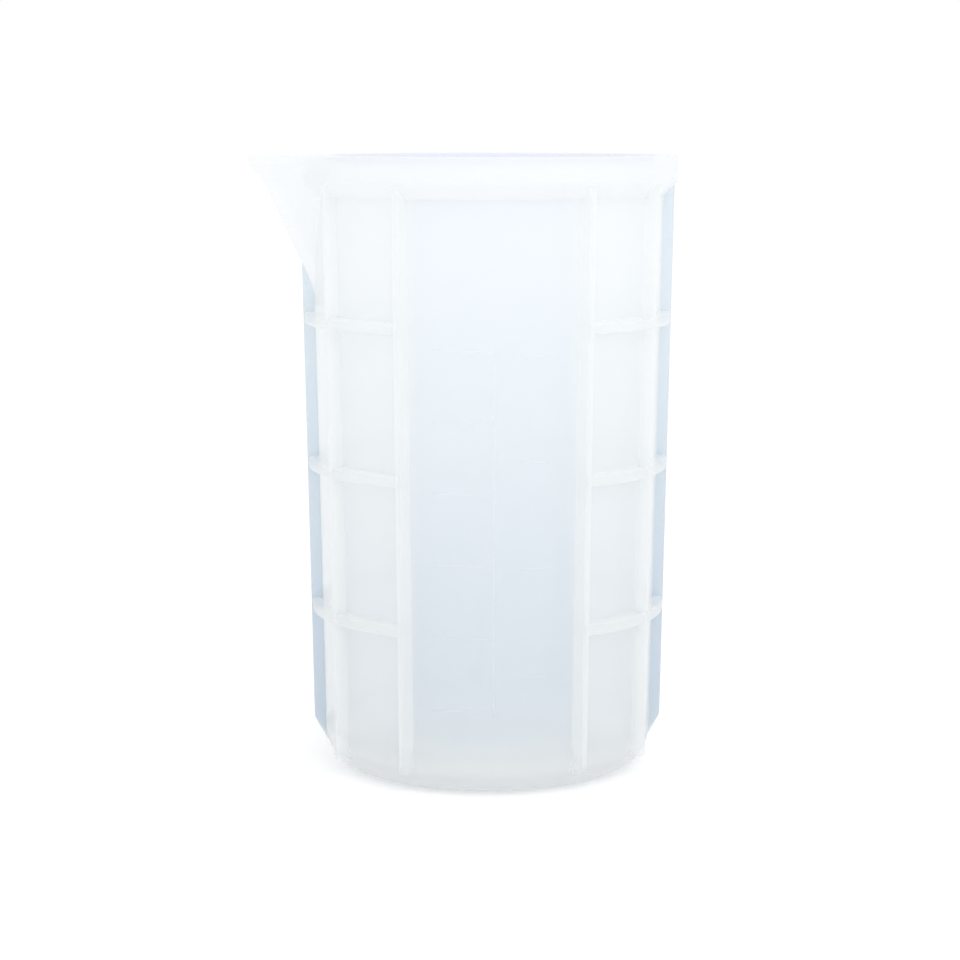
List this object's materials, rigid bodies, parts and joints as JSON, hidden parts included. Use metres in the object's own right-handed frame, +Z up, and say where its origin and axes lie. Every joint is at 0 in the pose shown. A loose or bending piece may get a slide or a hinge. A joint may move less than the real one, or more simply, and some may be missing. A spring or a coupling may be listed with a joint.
{
  "type": "resin mixing cup",
  "caption": "Tall tapered silicone mixing cup with a V-shaped pouring spout, thick rim band, outside ribs and rings, and a raised measuring scale.",
  "frame": {"origin": "centre of the flat underside, on the cup's axis", "axes": "+Z up along the cup's axis, -Y towards the plain front panel with the scale, -X towards the pouring spout"},
  "size_m": [0.1124, 0.0996, 0.162],
  "materials": {
    "milky_silicone": "milky translucent silicone rubber with a satin sheen"
  },
  "bodies": {
    "root": {"cup_floor": "milky_silicone", "cup_wall": "milky_silicone", "rim_band": "milky_silicone", "pouring_spout": "milky_silicone", "front_left_rib": "milky_silicone", "front_right_rib": "milky_silicone", "left_front_rib": "milky_silicone", "right_front_rib": "milky_silicone", "left_fin": "milky_silicone", "right_fin": "milky_silicone", "left_back_rib": "milky_silicone", "right_back_rib": "milky_silicone", "back_left_rib": "milky_silicone", "back_right_rib": "milky_silicone", "left_upper_ring": "milky_silicone", "left_middle_ring": "milky_silicone", "left_lower_ring": "milky_silicone", "right_upper_ring": "milky_silicone", "right_middle_ring": "milky_silicone", "right_lower_ring": "milky_silicone", "millilitre_marks": "milky_silicone", "ounce_marks": "milky_silicone"}
  },
  "joints": []
}
